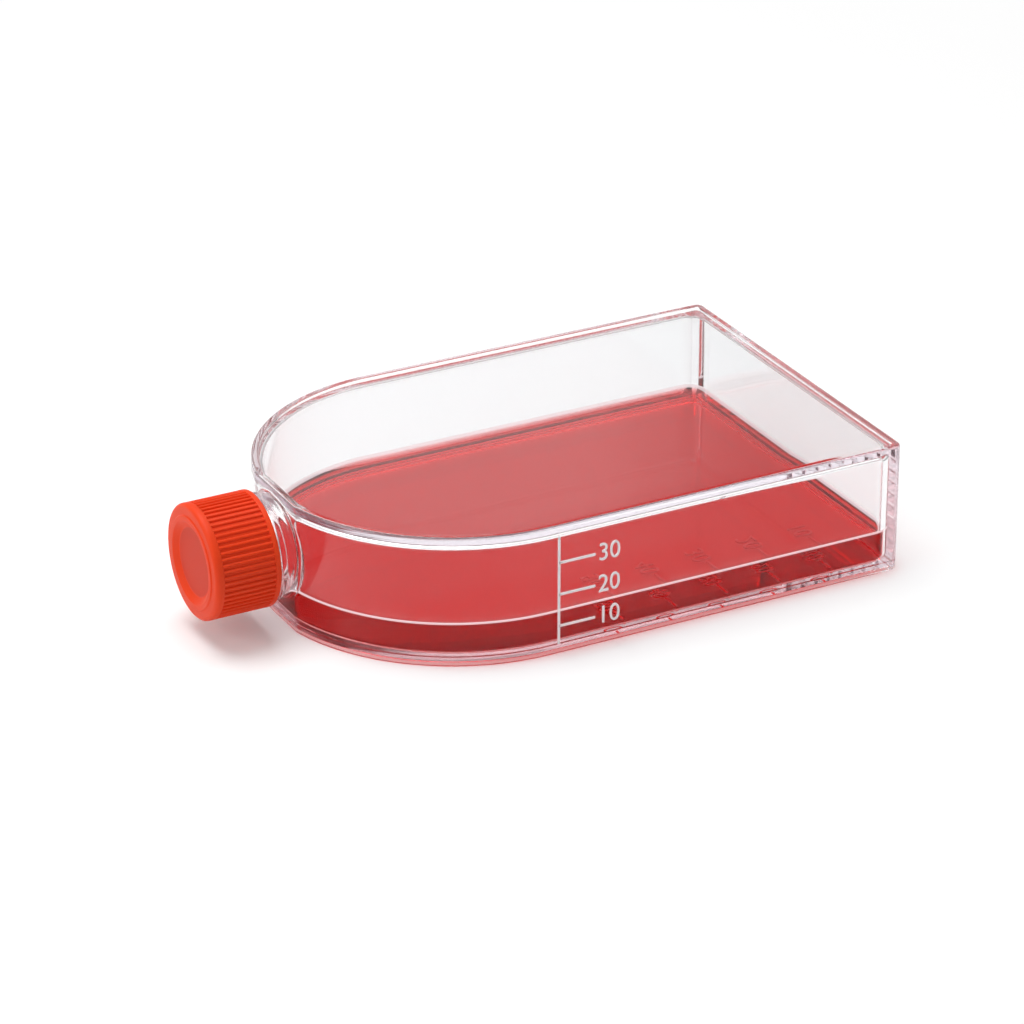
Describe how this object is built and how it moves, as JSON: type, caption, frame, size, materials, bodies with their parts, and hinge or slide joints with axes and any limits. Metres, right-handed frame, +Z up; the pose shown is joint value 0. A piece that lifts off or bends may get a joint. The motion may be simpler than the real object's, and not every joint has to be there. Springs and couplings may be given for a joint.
{
  "type": "cell culture flask",
  "caption": "Clear U-shaped cell culture flask lying on its growth plate, with a round neck, moulded volume scales, a ribbed screw cap with liner, and red culture medium.",
  "frame": {"origin": "centre of the whole object's footprint, on the surface that the flask lies on", "axes": "+Z up from the growth plate to the upper plate, +X from the neck towards the flat base end, -Y side carries the side scale"},
  "size_m": [0.1068, 0.0626, 0.0216],
  "materials": {
    "clear_plastic": "clear moulded polystyrene, polished",
    "culture_medium": "clear red liquid",
    "cap_plastic": "orange moulded plastic, satin",
    "liner": "white liner, satin"
  },
  "bodies": {
    "flask": {"flask_body": "clear_plastic", "growth_plate": "clear_plastic", "culture_medium": "culture_medium"},
    "seal": {"cap_seal": "liner"},
    "cap": {"screw_cap": "cap_plastic"}
  },
  "joints": [
    {"name": "cap_lift", "type": "slide", "parent": "flask", "child": "seal", "axis": [-1, 0, 0], "range_m": [0, 0.01081]},
    {"name": "cap_turn", "type": "hinge", "parent": "seal", "child": "cap", "pos_m": [-0.04238, 0, 0.0124], "axis": [-1, 0, 0], "range_deg": [0, 1080]}
  ],
  "couplings": [
    {"joint": "cap_lift", "follows": "cap_turn", "m_per_rad": 0.00057296}
  ]
}
